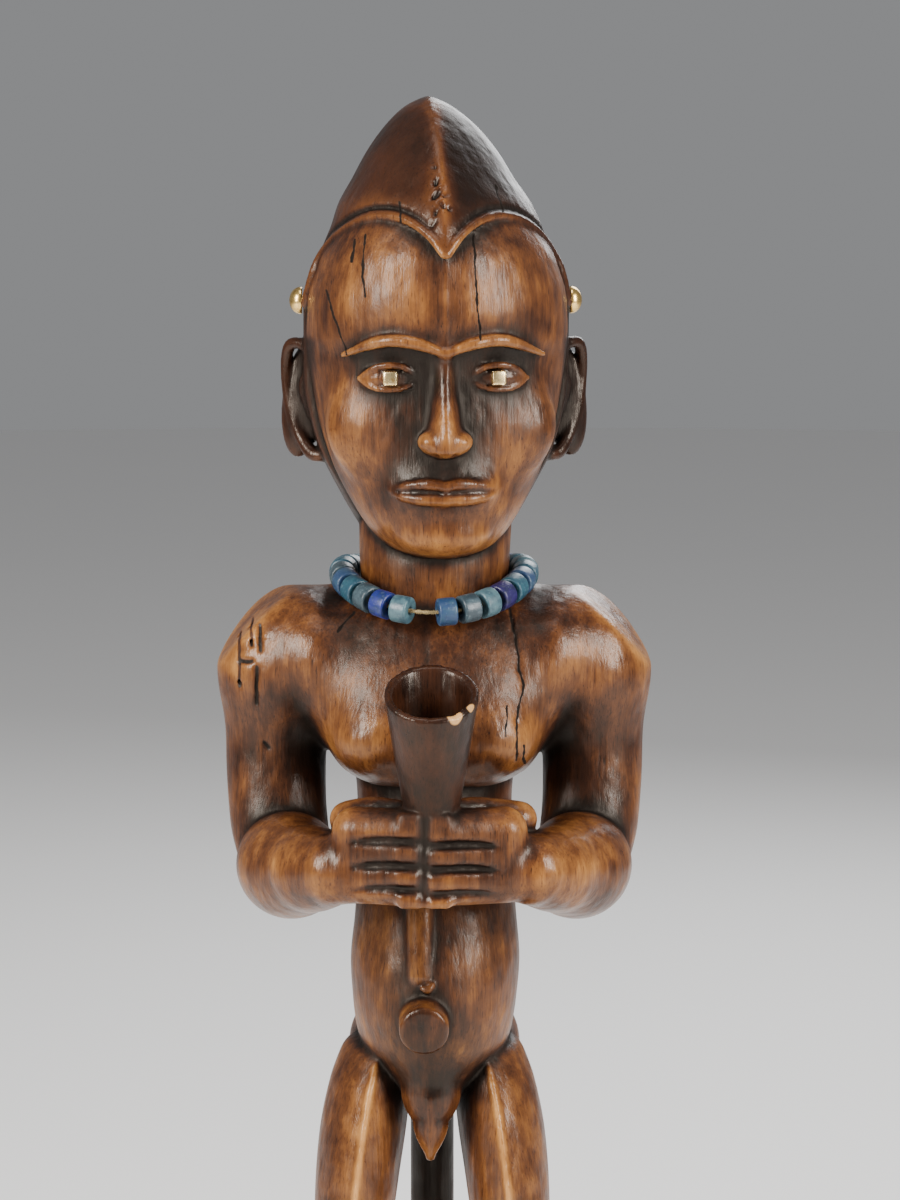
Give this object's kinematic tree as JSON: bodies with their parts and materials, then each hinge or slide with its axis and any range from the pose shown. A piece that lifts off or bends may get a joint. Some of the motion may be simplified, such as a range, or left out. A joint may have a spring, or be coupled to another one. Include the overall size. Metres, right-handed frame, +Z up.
{
  "type": "fang statue",
  "caption": "Carved wooden standing figure with keeled helmet hair, holding a flared cup at its chest, with strung glass beads, on a low round base.",
  "frame": {"origin": "centre of the underside of the round base", "axes": "+Z up to the top of the hair, the figure faces -Y, +X to a viewer's right"},
  "size_m": [0.1719, 0.1863, 0.6001],
  "materials": {
    "carved_wood": "worn waxed patina, orange-brown on high places and near black in the hair and recesses",
    "bead_glass": "opaque satin trade-bead glass in blues and teals",
    "string": "twisted plant fibre",
    "tack_brass": "polished, worn",
    "pupil_brass": "satin"
  },
  "bodies": {
    "root": {"bead_01": "bead_glass", "bead_02": "bead_glass", "bead_03": "bead_glass", "bead_04": "bead_glass", "bead_05": "bead_glass", "bead_06": "bead_glass", "bead_07": "bead_glass", "bead_08": "bead_glass", "bead_09": "bead_glass", "bead_10": "bead_glass", "bead_11": "bead_glass", "bead_12": "bead_glass", "bead_13": "bead_glass", "bead_14": "bead_glass", "bead_15": "bead_glass", "bead_16": "bead_glass", "bead_17": "bead_glass", "bead_18": "bead_glass", "bead_19": "bead_glass", "bead_20": "bead_glass", "bead_21": "bead_glass", "bead_22": "bead_glass", "bead_23": "bead_glass", "bead_24": "bead_glass", "bead_25": "bead_glass", "bead_26": "bead_glass", "figure": "carved_wood", "necklace_string": "string", "pupil_left": "pupil_brass", "pupil_right": "pupil_brass", "temple_stud_left": "tack_brass", "temple_stud_right": "tack_brass"}
  },
  "joints": []
}
